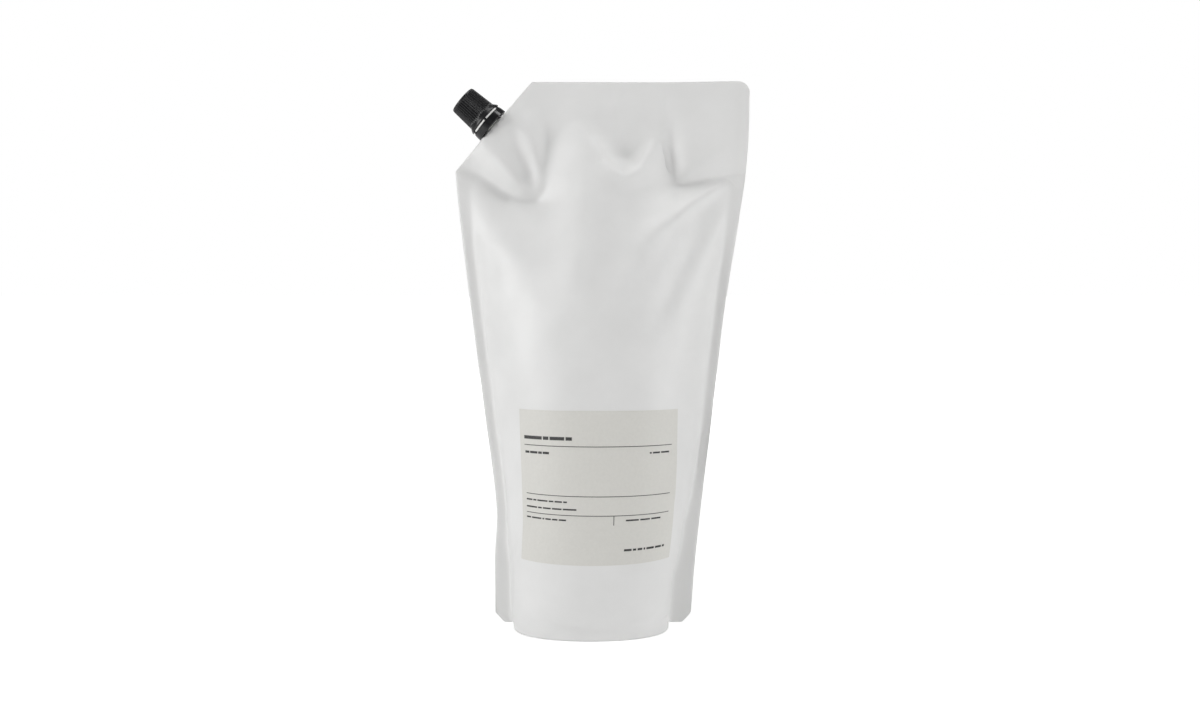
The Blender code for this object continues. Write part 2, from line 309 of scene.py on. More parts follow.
@dataclass(frozen=True)
class StickerFinish:
    """Warm grey matt sticker stock with a faint paper tooth."""

    colour: Colour = (0.655, 0.648, 0.612)
    flecked: Colour = (0.680, 0.672, 0.636)
    roughness: Point = (0.44, 0.54)
    specular: float = 0.4
    dimple_depth: float = 0.00010
    tooth_depth: float = 0.000010

    def material(self) -> bpy.types.Material:
        """Builds the sticker's material."""
        shader = Shader("label_stock", self.colour, self.roughness[0])
        flecks = shader.ramp(shader.noise(scale=700.0, detail=4.0), 0.0, 1.0)
        tone = shader.blend(flecks, self.colour, self.flecked)
        shader.link(tone, shader.principled.inputs["Base Color"])
        sheen = shader.ramp(shader.noise(scale=140.0, detail=3.0), *self.roughness)
        shader.link(sheen, shader.principled.inputs["Roughness"])
        shader.put("Specular IOR Level", self.specular)
        shader.bump([
            (shader.noise(scale=90.0, detail=2.0), self.dimple_depth),
            (shader.noise(scale=2600.0, detail=3.0), self.tooth_depth),
        ])
        return shader.material


@dataclass(frozen=True)
class InkFinish:
    """Dry dark ink, a little uneven where it is thin."""

    full: Colour = (0.022, 0.022, 0.022)
    thin: Colour = (0.06, 0.06, 0.058)
    roughness: float = 0.6

    def material(self) -> bpy.types.Material:
        """Builds the ink's material."""
        shader = Shader("print_ink", self.full, self.roughness)
        tone = shader.blend(shader.ramp(shader.noise(scale=1800.0, detail=2.0), 0.0, 1.0), self.full, self.thin)
        shader.link(tone, shader.principled.inputs["Base Color"])
        return shader.material


class Plastic(Enum):
    """The fitting's three moulded plastics: name, colour, roughness, specular level."""

    SATIN_BLACK = ("cap_black", (0.012, 0.012, 0.013), 0.26, 0.42)
    GLOSS_BLACK = ("ring_black", (0.008, 0.008, 0.009), 0.14, 0.45)
    NATURAL = ("spout_natural", (0.82, 0.82, 0.80), 0.28, 0.5)

    def material(self) -> bpy.types.Material:
        """Builds the plastic's material, with the soft unevenness of a moulded face."""
        name, colour, roughness, specular = self.value
        shader = Shader(name, colour, roughness)
        shader.put("Specular IOR Level", specular)
        uneven = shader.ramp(shader.noise(scale=320.0, detail=4.0), roughness * 0.85, roughness * 1.2)
        shader.link(uneven, shader.principled.inputs["Roughness"])
        ripple, grain = 0.00003, 0.000006
        shader.bump([
            (shader.noise(scale=260.0, detail=2.0), ripple), (shader.noise(scale=5000.0, detail=2.0), grain),
        ])
        return shader.material


@dataclass(frozen=True)
class StudioFinish:
    """Plain pale floor, bright enough to light the pouch's foot."""

    near_glow: float = 0.50
    glow_span: Point = (0.3, 1.6)
    bounce: float = 0.22

    def material(self) -> bpy.types.Material:
        """Builds the floor's material: its paleness rises far off, so that it runs into the white behind it."""
        shader = Shader("studio_floor", (0.82, 0.82, 0.82), 0.7)
        shader.put("Specular IOR Level", 0.2)
        place = shader.tree.nodes.new("ShaderNodeTexCoord")
        far = shader.tree.nodes.new("ShaderNodeVectorMath")
        far.operation = "LENGTH"
        shader.link(place.outputs["Object"], far.inputs[0])
        glow = shader.ramp(far.outputs["Value"], self.near_glow, 1.0, self.glow_span)
        seen = shader.tree.nodes.new("ShaderNodeLightPath")
        shown = shader.node("ShaderNodeMapRange")
        shown.inputs["To Min"].default_value = self.bounce
        shader.link(seen.outputs["Is Camera Ray"], shown.inputs["Value"])
        shader.link(glow, shown.inputs["To Max"])
        shader.link(shown.outputs["Result"], shader.principled.inputs["Emission Strength"])
        shader.put("Emission Color", (1.0, 1.0, 1.0, 1.0))
        return shader.material


# ------------------------------------------------------------------ the film


def nearest_on_path(
    path: tuple[Point, ...], x: np.ndarray, z: np.ndarray
) -> tuple[np.ndarray, np.ndarray, np.ndarray]:
    """Finds how far each place lies from a path of straight runs.

    Args:
        path: Corners of the path.
        x: Places across.
        z: Heights.

    Returns:
        Distance from the path, share of the path's length at the nearest point, and the distance's
        sign: 1 left of the way along the path and -1 right of it.
    """
    lengths = [math.dist(a, b) for a, b in zip(path, path[1:])]
    best = np.full(np.shape(x), np.inf)
    share, sign = np.zeros(np.shape(x)), np.ones(np.shape(x))
    done = 0.0
    for (ax, az), (bx, bz), length in zip(path, path[1:], lengths):
        dx, dz = (bx - ax) / length, (bz - az) / length
        along = np.clip((x - ax) * dx + (z - az) * dz, 0.0, length)
        away = np.hypot(x - ax - along * dx, z - az - along * dz)
        nearer = away < best
        best = np.where(nearer, away, best)
        share = np.where(nearer, (done + along) / sum(lengths), share)
        sign = np.where(nearer, np.where((z - az) * dx - (x - ax) * dz >= 0, 1.0, -1.0), sign)
        done += length
    return best, share, sign


@dataclass(frozen=True)
class Fold:
    """A ridge or valley in a film beyond what filling gives.

    Args:
        path: (x, z) corners that it runs through.
        height: Rise towards the side that the film faces, negative for a valley.
        width: Half width at the path's start, where the rise has fallen to a third.
        end_width: Half width at the path's end, or the start's if none.
        crisp: How sharp its crest is: 2 is round, 1 is a crease.
        lean: Positive makes the flank left of the way along the path the steeper one.
    """

    path: tuple[Point, ...]
    height: float
    width: float
    end_width: float | None = None
    crisp: float = 2.0
    lean: float = 0.0

    def rise(self, x: np.ndarray, z: np.ndarray) -> np.ndarray:
        """Rise at each place."""
        away, share, sign = nearest_on_path(self.path, x, z)
        wide = self.width + ((self.end_width or self.width) - self.width) * share
        taper = np.clip(np.sin(np.pi * (0.06 + 0.88 * share)), 0.0, 1.0) ** 0.6
        return self.height * taper * np.exp(-((away / (wide * (1.0 - self.lean * sign))) ** self.crisp))


@dataclass
class Outline:
    """The standing pouch's edges and the flat pattern that it was made from."""

    height: float
    # Edges of the standing pouch, as (height, x).
    left: tuple[Point, ...] = (
        (0.0065, -0.0566), (0.036, -0.0567), (0.062, -0.0556), (0.119, -0.0624), (0.172, -0.0690),
        (0.226, -0.0751), (0.2419, -0.0764),
    )
    right: tuple[Point, ...] = (
        (0.0065, 0.0493), (0.0387, 0.0518), (0.119, 0.0607), (0.172, 0.0668), (0.226, 0.0750),
        (0.247, 0.0775), (0.2821, 0.0783),
    )
    # Widths of the side welds, as (height, width).
    left_welds: tuple[Point, ...] = ((0.0, 0.0103), (0.020, 0.0095), (0.045, 0.0085))
    right_welds: tuple[Point, ...] = (
        (0.0, 0.0125), (0.015, 0.0134), (0.025, 0.0122), (0.044, 0.0098), (0.060, 0.0088), (0.080, 0.0085),
    )
    half_width: float = 0.0774
    middle: float = 0.00095
    corner_radius: float = 0.0065
    cut_foot: Point = (-0.0764, 0.2419)
    cut_head_x: float = -0.0358

    def right_weld(self, up: float) -> float:
        """Width of the right weld, which widens towards the foot."""
        return curve_value(self.right_welds, up)

    def left_weld(self, up: float) -> float:
        """Width of the left weld, which widens a little towards the foot."""
        return curve_value(self.left_welds, up)

    def cut_ends(self) -> tuple[Vector, Vector]:
        """Lower and upper end of the corner cut."""
        foot = Vector((self.cut_foot[0], 0.0, self.cut_foot[1]))
        return foot, Vector((self.cut_head_x, 0.0, self.height))

    def cut_along(self) -> Vector:
        """Direction up the corner cut."""
        foot, head = self.cut_ends()
        return (head - foot).normalized()

    def spout_foot(self) -> Vector:
        """Where the spout's axis leaves the corner cut."""
        return Vector(((self.cut_foot[0] + self.cut_head_x) / 2, 0.0, (self.cut_foot[1] + self.height) / 2))

    def across_cut(self, x: float, z: float) -> Point:
        """Place by the corner cut: (distance inside it, distance along it from the spout's axis)."""
        along = self.cut_along()
        offset = Vector((x, 0.0, z)) - self.spout_foot()
        return offset.x * along.z - offset.z * along.x, offset.dot(along)


def off_line(pair: tuple[Vector, Vector], place: Vector) -> float:
    """How far a place lies, along X, from the line between two ends.

    Args:
        pair: The front and the back end.
        place: The place, between the two in depth.

    Returns:
        The distance.
    """
    share = (place.y - pair[0].y) / (pair[1].y - pair[0].y)
    return abs(place.x - (pair[0].x + (pair[1].x - pair[0].x) * share))


@dataclass
class FilledPouch:
    """Two films welded flat at the sides and top, swollen by the soap and opened by a base gusset."""

    outline: Outline
    cell: float = 0.003
    film_gap: float = 0.00035
    boat_half_length: float = 0.0185
    boat_half_depth: float = 0.0056
    boat_reach: float = 0.0115
    slack_up: float = 1.008
    slack_across: float = 1.004
    frames: int = 40
    pressure: float = 1500.0
    sticker: tuple[float, float, float, float] = (-0.043, 0.045, 0.038, 0.115)
    # Where the soap ends and the films lie against each other, as (x, z) from left to right.
    soap_line: tuple[Point, ...] = (
        (-0.0700, 0.2340), (-0.0615, 0.2378), (-0.0560, 0.2340), (-0.0481, 0.2293), (-0.0410, 0.2268),
        (-0.0337, 0.2261), (-0.0308, 0.2320), (-0.0290, 0.2440), (-0.0224, 0.2603), (-0.0134, 0.2673),
        (-0.0043, 0.2662), (0.0016, 0.2585), (0.0107, 0.2496), (0.0214, 0.2534), (0.0294, 0.2590),
        (0.0335, 0.2520), (0.0385, 0.2330), (0.0450, 0.2345), (0.0534, 0.2363), (0.0679, 0.2389),
        (0.0800, 0.2389),
    )
    pinch: Point = (0.0385, 0.2330)
    spout_dip: Point = (-0.0337, 0.2261)
    # How lens-like the section is at each height: under 1 is boxy, over 1 is thin towards its welds.
    roundness: tuple[Point, ...] = (
        (0.0, 0.64), (0.03, 0.62), (0.08, 0.62), (0.12, 0.76), (0.15, 0.86), (0.19, 1.0), (0.24, 1.35),
    )
    # Rise of both films round the pinch, as (angle, rise for each metre out from it).
    dart: tuple[Point, ...] = (
        (-60.0, 0.0), (-30.0, -0.004), (9.5, -0.052), (22.0, 0.020), (38.0, 0.158), (46.0, 0.165),
        (60.0, 0.110), (78.0, 0.020), (94.0, -0.036), (114.0, -0.034), (135.0, -0.012), (160.0, 0.0),
    )
    dart_reach: float = 0.030
    # The underside from its front edge to its middle, as (distance in, height).
    gusset: tuple[Point, ...] = (
        (0.0, 0.0), (0.0006, 0.0), (0.0009, 0.0045), (0.0016, 0.0080), (0.0040, 0.0084), (0.0090, 0.0050),
        (0.0150, 0.0014), (0.0240, 0.0003), (0.0460, 0.0014),
    )
    gusset_steps: int = 16
    # Where the spout's weld and the top weld fade out, and how much of the weld's tone they take.
    seam_edge: Point = (0.008, 0.011)
    spout_weld_tone: float = 0.5
    top_weld_tone: float = 0.2
    foot_clip: float = 0.0055
    rows: list[dict] = field(default_factory=list)

    def solve_rows(self, count: int = 97) -> None:
        """Works out the standing section at each height.

        The film doesn't stretch: where its edges have drawn in, the section's depth is what takes up the
        flat width between the welds.
        """
        angles = np.linspace(0.0, math.pi, 181)
        for up in np.linspace(0.0, self.outline.height, count):
            left, right = curve_value(self.outline.left, up), curve_value(self.outline.right, up)
            left_weld, right_weld = self.outline.left_weld(up), self.outline.right_weld(up)
            low, high = left + left_weld, right - right_weld
            flat = 2 * self.outline.half_width - left_weld - right_weld
            power = curve_value(self.roundness, up)
            shallow, deep = 0.0, 0.09
            for _ in range(40):
                depth = (shallow + deep) / 2
                x = (low + high) / 2 - (high - low) / 2 * np.cos(angles)
                y = depth * np.sin(angles) ** power
                steps = np.hypot(np.diff(x), np.diff(y))
                shallow, deep = (depth, deep) if steps.sum() < flat else (shallow, depth)
            run = np.concatenate([[0.0], np.cumsum(steps)])
            row = {"left": left, "right": right, "near": left_weld, "far": right_weld}
            self.rows.append(row | {"run": run / run[-1], "x": x, "y": y})

    def row_point(self, row: dict, across: float) -> Point:
        """Finds where a place across the flat pattern stands on one row's section.

        Args:
            row: The section, from solve_rows.
            across: Place across the flat pattern.

        Returns:
            (x, depth).
        """
        u, half = across - self.outline.middle, self.outline.half_width
        if u <= -half + row["near"]:
            return row["left"] + u + half, 0.0
        if u >= half - row["far"]:
            return row["right"] - half + u, 0.0
        share = (u + half - row["near"]) / (2 * half - row["near"] - row["far"])
        return float(np.interp(share, row["run"], row["x"])), float(np.interp(share, row["run"], row["y"]))

    def standing_place(self, across: float, up: float) -> Point:
        """Finds where a place on the flat pattern stands before the film settles.

        Args:
            across: Place across the flat pattern.
            up: Height on it.

        Returns:
            (x, depth).
        """
        place = min(up / self.outline.height * (len(self.rows) - 1), len(self.rows) - 1.001)
        i = int(place)
        below, above = self.row_point(self.rows[i], across), self.row_point(self.rows[i + 1], across)
        share = place - i
        return below[0] + (above[0] - below[0]) * share, below[1] + (above[1] - below[1]) * share

    def relief(self, side: Side, x: np.ndarray, z: np.ndarray) -> np.ndarray:
        """Rise of one film at each place beyond what filling gives.

        Where the films lie together, above the soap line, both take the front film's relief.

        Args:
            side: Which film.
            x: Places across.
            z: Heights.

        Returns:
            Shift along Y.
        """
        share = np.clip((0.002 - self.below_soap(x, z)) / 0.008, 0.0, 1.0)
        lying = share * share * (3.0 - 2.0 * share)
        dx, dz = x - self.pinch[0], z - self.pinch[1]
        out, angle = np.hypot(dx, dz), np.degrees(np.arctan2(dz, dx))
        turns = np.linspace(self.dart[0][0], self.dart[-1][0], 441)
        slope = np.interp(angle, turns, [curve_value(self.dart, turn) for turn in turns])
        dart = slope * self.dart_reach * np.tanh(out / self.dart_reach)
        above = np.clip((z - 0.215) / 0.03, 0.0, 1.0)
        front = dart * above + sum(fold.rise(x, z) for fold in self.folds(Side.FRONT))
        welded = np.abs(x - self.outline.middle)
        wave = 0.0005 * np.sin(z / 0.0085 + 1.3 * np.sin(z / 0.021))
        edge = wave * np.clip((welded - 0.03) / 0.03, 0.0, 1.0) * (1.0 - above)
        if side is Side.FRONT:
            return edge - front
        own = sum(fold.rise(x, z) for fold in self.folds(Side.BACK))
        return edge - front * lying + own * (1.0 - lying)

    def flat_sheet(self) -> bmesh.types.BMesh:
        """One film's flat pattern: a grid with its corner cut, round corner and clipped feet."""
        half, middle, height = self.outline.half_width, self.outline.middle, self.outline.height
        bm = bmesh.new()
        columns, lines = round(2 * half / self.cell), round(height / self.cell)
        bmesh.ops.create_grid(bm, x_segments=columns, y_segments=lines, size=0.5)
        for vert in bm.verts:
            vert.co = Vector((middle + vert.co.x * 2 * half, 0.0, (vert.co.y + 0.5) * height))
        along = self.outline.cut_along()
        cuts = [(self.outline.cut_ends()[0], Vector((-along.z, 0.0, along.x)))]
        radius = self.outline.corner_radius
        centre = Vector((middle + half - radius, 0.0, height - radius))
        for k in range(1, 6):
            out = Vector((math.cos(math.pi / 2 * k / 6), 0.0, math.sin(math.pi / 2 * k / 6)))
            cuts.append((centre + out * radius, out))
        for way in (-1.0, 1.0):
            slanting = Vector((way * 0.75, 0.0, -0.66)).normalized()
            cuts.append((Vector((middle + way * half, 0.0, self.foot_clip)), slanting))
        for point, out in cuts:
            geometry = bm.verts[:] + bm.edges[:] + bm.faces[:]
            bmesh.ops.bisect_plane(
                bm, geom=geometry, dist=0.00002, plane_co=point, plane_no=out, clear_outer=True
            )
        bm.verts.index_update()
        return bm

    def below_soap(self, x: np.ndarray, z: np.ndarray) -> np.ndarray:
        """Measures how far places lie inside the soap line.

        Args:
            x: Places across.
            z: Heights.

        Returns:
            The distances, negative where the films lie together.
        """
        places = np.linspace(self.soap_line[0][0], self.soap_line[-1][0], 120)
        line = tuple((float(a), curve_value(self.soap_line, float(a))) for a in places)
        away, _, sign = nearest_on_path(line, x, z)
        return -away * sign

    def lens(self, along: float) -> float:
        """Half depth of the film over the spout's boat-shaped base."""
        return self.boat_half_depth * max(0.0, 1.0 - (along / self.boat_half_length) ** 2) ** 1.2

    def settle_start(self, flat: np.ndarray, side: Side) -> tuple[np.ndarray, np.ndarray, np.ndarray]:
        """Start places, held points and pressed points for one film.

        Args:
            flat: Flat pattern places, one (across, up) a row.
            side: Which film.

        Returns:
            Places, hold weights and pressure weights.
        """
        places = np.zeros((len(flat), 3))
        held, pressed = np.zeros(len(flat)), np.zeros(len(flat))
        half, middle = self.outline.half_width, self.outline.middle
        standing = np.array([self.standing_place(across, up) for across, up in flat])
        drowned = self.below_soap(standing[:, 0], flat[:, 1])
        for i, (across, up) in enumerate(flat):
            x, depth = standing[i]
            below = drowned[i]
            inside, along = self.outline.across_cut(x, up)
            welded = across - middle <= -half + self.outline.left_weld(up) + 1e-6
            welded |= across - middle >= half - self.outline.right_weld(up) - 1e-6
            boat = inside < self.boat_reach
            tent = not boat and below < 0.0 and across < -0.0295 and along < 0.0185 + 0.4 * (inside - 0.011)
            lying = below < 0.0 and not tent
            if boat:
                depth = self.lens(along)
            elif tent:
                swell = 0.6 * ease(-0.03, 0.03, below) * depth
                depth = max(swell, self.lens(along) * (1.0 - ease(0.011, 0.04, inside)))
            else:
                depth *= min(max(below / 0.028, 0.0), 1.0) ** 0.75
            held[i] = float(welded or boat or lying or up < 1e-5)
            if math.hypot(x - self.spout_dip[0], up - self.spout_dip[1]) < 0.0035 and below > -0.002:
                held[i], depth = 1.0, 0.0010
            pressed[i] = 0.0 if boat or tent else ease(0.0, 0.006, below)
            places[i] = (x, side.value * (depth + self.film_gap), up)
        return places, held, pressed

    def settle(self, side: Side) -> tuple[bmesh.types.BMesh, np.ndarray, np.ndarray]:
        """Fills one film: its flat pattern is the cloth's rest shape, and the soap is pressure on it.

        Args:
            side: Which film.

        Returns:
            The film's flat mesh, its flat places and its settled places.
        """
        bm = self.flat_sheet()
        flat = np.array([(v.co.x, v.co.z) for v in bm.verts])
        places, held, pressed = self.settle_start(flat, side)
        mesh = bpy.data.meshes.new("film_cloth")
        bm.to_mesh(mesh)
        mesh.vertices.foreach_set("co", places.ravel().astype(np.float32))
        mesh.update()
        if np.mean([face.normal.y for face in mesh.polygons]) * side.value < 0:
            mesh.flip_normals()
        cloth = bpy.data.objects.new("film_cloth", mesh)
        bpy.context.scene.collection.objects.link(cloth)
        cloth.shape_key_add(name="standing")
        rest = cloth.shape_key_add(name="flat")
        rest_places = np.zeros((len(flat), 3), np.float32)
        rest_places[:, 0] = flat[:, 0] * self.slack_across
        rest_places[:, 2] = flat[:, 1] * self.slack_up
        rest.data.foreach_set("co", rest_places.ravel())
        rest.value = 0.0
        left, right, low, high = self.sticker
        across, up = flat[:, 0], flat[:, 1]
        stiff = (across > left) & (across < right) & (up > low) & (up < high) & (side is Side.FRONT)
        for name, weights in (("held", held), ("pressed", pressed), ("stiff", stiff.astype(float))):
            group = cloth.vertex_groups.new(name=name)
            for i in np.nonzero(weights)[0]:
                group.add([int(i)], float(weights[i]), "REPLACE")
        modifier = cloth.modifiers.new("Fill", "CLOTH")
        self.set_cloth(modifier, rest)
        for frame in range(1, self.frames + 1):
            bpy.context.scene.frame_set(frame)
        settled = cloth.evaluated_get(bpy.context.evaluated_depsgraph_get()).data
        result = np.zeros(len(flat) * 3, np.float32)
        settled.vertices.foreach_get("co", result)
        bpy.data.objects.remove(cloth, do_unlink=True)
        bpy.context.scene.frame_set(1)
        return bm, flat, result.reshape(-1, 3).astype(float)

    def set_cloth(self, modifier: bpy.types.ClothModifier, rest: bpy.types.ShapeKey) -> None:
        """Gives the cloth the stiffness of thin laminate, the soap's pressure and no gravity."""
        cloth = modifier.settings
        cloth.quality = 8
        cloth.mass = 0.02
        cloth.tension_stiffness, cloth.compression_stiffness, cloth.shear_stiffness = 40.0, 20.0, 10.0
        cloth.bending_stiffness = 1.0
        cloth.bending_stiffness_max = 30.0
        cloth.vertex_group_bending = "stiff"
        cloth.tension_damping = cloth.compression_damping = cloth.shear_damping = 5.0
        cloth.air_damping = 2.0
        cloth.vertex_group_mass = "held"
        cloth.use_pressure = True
        cloth.uniform_pressure_force = self.pressure
        cloth.vertex_group_pressure = "pressed"
        cloth.rest_shape_key = rest
        cloth.effector_weights.gravity = 0.0
        modifier.collision_settings.use_collision = False
        modifier.collision_settings.use_self_collision = False
        modifier.point_cache.frame_end = self.frames + 1

    def folds(self, side: Side) -> tuple[Fold, ...]:
        """The film's own ridges and valleys."""
        if side is Side.BACK:
            return (
                Fold(((-0.050, 0.218), (-0.020, 0.186), (0.010, 0.150)), 0.0020, 0.012),
                Fold(((0.040, 0.222), (0.030, 0.195), (0.012, 0.168)), -0.0014, 0.009),
                Fold(((0.020, 0.130), (0.030, 0.060)), 0.0010, 0.012),
            )
        return (
            # round the spout: a tucked curve, a broad facet, a valley and a ridge
            Fold(
                ((-0.0740, 0.2450), (-0.0620, 0.2390), (-0.0480, 0.2295), (-0.0340, 0.2265)),
                -0.0026, 0.0040, crisp=1.5,
            ),
            Fold(((-0.0640, 0.2550), (-0.0520, 0.2460), (-0.0415, 0.2340)), 0.0032, 0.0068, 0.0046, crisp=1.7),
            Fold(((-0.0480, 0.2660), (-0.0415, 0.2520), (-0.0350, 0.2390)), -0.0024, 0.0068, 0.0042, crisp=1.9),
            Fold(((-0.0400, 0.2740), (-0.0360, 0.2560), (-0.0310, 0.2370)), 0.0030, 0.0080, 0.0040, crisp=1.9),
            # the two lobes of soap and the hollow between them
            Fold(
                ((-0.0050, 0.2690), (-0.0060, 0.2400), (-0.0080, 0.2050), (-0.0110, 0.1750)),
                0.0058, 0.0115, 0.0150,
            ),
            Fold(
                ((-0.0030, 0.2550), (0.0060, 0.2425), (0.0130, 0.2390), (0.0205, 0.2430), (0.0300, 0.2580)),
                0.0058, 0.0064, crisp=1.7, lean=0.35,
            ),
            Fold(
                ((0.0360, 0.2680), (0.0370, 0.2520), (0.0382, 0.2360)),
                -0.0030, 0.0095, 0.0060, crisp=1.9, lean=0.3,
            ),
            Fold(((0.0100, 0.2860), (0.0100, 0.2580)), -0.0010, 0.0060, crisp=1.3),
            # the bright ridge under the pinch and the long soft bands that run down from it
            Fold(
                ((0.0640, 0.2345), (0.0467, 0.2245), (0.0334, 0.2135), (0.0240, 0.2050)),
                0.0040, 0.0030, 0.0072, crisp=1.8,
            ),
            Fold(((0.0680, 0.2390), (0.0530, 0.2362), (0.0400, 0.2340)), -0.0016, 0.0022, crisp=1.3),
            Fold(((0.0300, 0.2150), (0.0150, 0.1900), (0.0000, 0.1600)), 0.0022, 0.0090),
            Fold(((0.0580, 0.2220), (0.0430, 0.1920), (0.0280, 0.1620)), -0.0022, 0.0065),
            Fold(((0.0480, 0.1700), (0.0460, 0.1480)), 0.0016, 0.0080),
            # soft dents at the left and right flanks and the gusset's weld line
            Fold(((-0.0560, 0.1990), (-0.0570, 0.1820)), -0.0012, 0.0050),
            Fold(((-0.0520, 0.1580), (-0.0510, 0.1450)), -0.0011, 0.0050),
            Fold(((0.0560, 0.1120), (0.0520, 0.0900), (0.0480, 0.0700)), -0.0010, 0.0050),
            Fold(
                (
                    (-0.036, 0.0125), (-0.030, 0.0105), (-0.018, 0.0078), (-0.004, 0.0064), (0.012, 0.0072),
                    (0.025, 0.0092), (0.030, 0.0115),
                ),
                -0.0010, 0.0018, crisp=1.5,
            ),
        )

    def gusset_point(self, half_depth: float, step: int) -> Point:
        """Place across the underside.

        Args:
            half_depth: Half of the underside's depth here.
            step: Steps from its front edge.

        Returns:
            (share of the half depth, height), with a negative share in front of the middle.
        """
        profile, steps = self.gusset, self.gusset_steps
        place = 1.0 - abs(2.0 * step / steps - 1.0)
        at = place * (len(profile) - 1)
        i = min(int(at), len(profile) - 2)
        inset = profile[i][0] + (profile[i + 1][0] - profile[i][0]) * (at - i)
        height = profile[i][1] + (profile[i + 1][1] - profile[i][1]) * (at - i)
        inset = min(inset * (half_depth / profile[-1][0]) ** 0.7, half_depth * place)
        share = 1.0 - inset / max(half_depth, 1e-6)
        return math.copysign(share, step / steps - 0.5), height * ease(0.0, 0.012, half_depth)

    def build(self, material: bpy.types.Material) -> bpy.types.Object:
        """Fills both films, joins them round the edge, closes the base and folds the film.

        Args:
            material: The film's finish.

        Returns:
            The pouch.
        """
        self.solve_rows()
        whole = bmesh.new()
        layers = {name: whole.verts.layers.float.new(name) for name in ("weld", "across", "up", "film")}
        boundary = []
        for side in Side:
            sheet, flat, places = self.settle(side)
            made = [whole.verts.new(place) for place in places]
            for vert, (across, up) in zip(made, flat):
                vert[layers["weld"]] = self.weld_share(across, up)
                vert[layers["across"]], vert[layers["up"]], vert[layers["film"]] = across, up, side.value
            for face in sheet.faces:
                whole.faces.new([made[v.index] for v in face.verts])
            edges = [e for e in sheet.edges if e.is_boundary]
            boundary.append([(made[e.verts[0].index], made[e.verts[1].index]) for e in edges])
            sheet.free()
        self.open_gusset(whole, self.join_edges(whole, boundary))
        bmesh.ops.recalc_face_normals(whole, faces=whole.faces[:])
        coarse = mesh_object("coarse_film", whole, material, 180.0)
        finer = coarse.modifiers.new("Finer", "SUBSURF")
        finer.levels = finer.render_levels = 1
        fine = bpy.data.meshes.new_from_object(coarse.evaluated_get(bpy.context.evaluated_depsgraph_get()))
        bpy.data.objects.remove(coarse, do_unlink=True)
        obj = bpy.data.objects.new("pouch_film", fine)
        bpy.context.scene.collection.objects.link(obj)
        self.press_folds(fine)
        fine.shade_smooth()
        fasten(obj, PACK, "white_film", "pouch")
        return obj

    def press_folds(self, mesh: bpy.types.Mesh) -> None:
        """Gives the finer film its folds, and keeps what the label needs to lie on it."""
        count = len(mesh.vertices)
        places = np.zeros(count * 3, np.float32)
        mesh.vertices.foreach_get("co", places)
        places = places.reshape(-1, 3).astype(float)
        values = {}
        for name in ("across", "up", "film"):
            values[name] = np.zeros(count, np.float32)
            mesh.attributes[name].data.foreach_get("value", values[name])
        for side in Side:
            chosen = values["film"] * side.value > 0.95
            places[chosen, 1] += self.relief(side, places[chosen, 0], places[chosen, 2])
        edge = np.abs(values["film"]) <= 0.95
        places[edge, 1] += self.relief(Side.BACK, places[edge, 0], places[edge, 2]) * (places[edge, 2] > 0.02)
        mesh.vertices.foreach_set("co", places.ravel().astype(np.float32))
        mesh.update()
        front = values["film"] < -0.95
        faces = [list(face.vertices) for face in mesh.polygons if all(front[i] for i in face.vertices)]
        self.front = FilmReader(np.stack([values["across"], values["up"]], 1), places, faces)
        for name in ("across", "up", "film"):
            mesh.attributes.remove(mesh.attributes[name])

    def join_edges(self, whole: bmesh.types.BMesh, boundary: list) -> list[bmesh.types.BMEdge]:
        """Closes the thin edge between the films all round.

        Args:
            whole: Mesh that holds both films.
            boundary: Matching boundary edges of the front and back films, as vertex pairs.

        Returns:
            The edges that cross from the front film to the back film.
        """
        crossing = set()
        for (a, b), (c, d) in zip(*boundary):
            face = whole.faces.new((a, b, d, c))
            for edge in face.edges:
                if set(edge.verts) in ({a, c}, {b, d}):
                    crossing.add(edge)
        return list(crossing)

    def open_gusset(self, whole: bmesh.types.BMesh, crossing: list[bmesh.types.BMEdge]) -> None:
        """Turns the strip across the base into the skirt's inside and the gusset that rests on the ground.

        Args:
            whole: Mesh that holds both films.
            crossing: The edges that cross from the front film to the back film.
        """
        steps = self.gusset_steps
        on_ground = [e for e in crossing if e.is_valid and max(v.co.z for v in e.verts) < 1e-4]
        low = [e for e in on_ground if e.calc_length() > 0.002]
        lines = {e: (min(e.verts, key=lambda v: v.co.y), max(e.verts, key=lambda v: v.co.y)) for e in low}
        ends = [(front.co.copy(), back.co.copy()) for front, back in lines.values()]
        made = bmesh.ops.subdivide_edges(whole, edges=low, cuts=steps - 1, use_grid_fill=True)
        inner = [v for v in made["geom_inner"] if isinstance(v, bmesh.types.BMVert)]
        for vert in inner:
            front, back = min(ends, key=lambda pair: off_line(pair, vert.co))
            middle, half = (front.y + back.y) / 2, (back.y - front.y) / 2
            step = round((vert.co.y - front.y) / (2 * half) * steps)
            share, height = self.gusset_point(half, step)
            vert.co.y = middle + share * half
            vert.co.z = height

    def weld_share(self, across: float, up: float) -> float:
        """How much of a place on the flat pattern is weld.

        Args:
            across: Place across the flat pattern.
            up: Height on it.

        Returns:
            1 on the side welds, less on the spout's and the top weld, and 0 on free film.
        """
        u, half = across - self.outline.middle, self.outline.half_width
        inside, _ = self.outline.across_cut(across, up)
        left, right = self.outline.left_weld(up), self.outline.right_weld(up)
        soft = 0.0012
        shares = [
            1.0 - ease(left - soft, left + soft, u + half),
            1.0 - ease(right - soft, right + soft, half - u),
            self.spout_weld_tone * (1.0 - ease(*self.seam_edge, inside)),
            self.top_weld_tone * (1.0 - ease(*self.seam_edge, self.outline.height - up)),
        ]
        return max(shares)


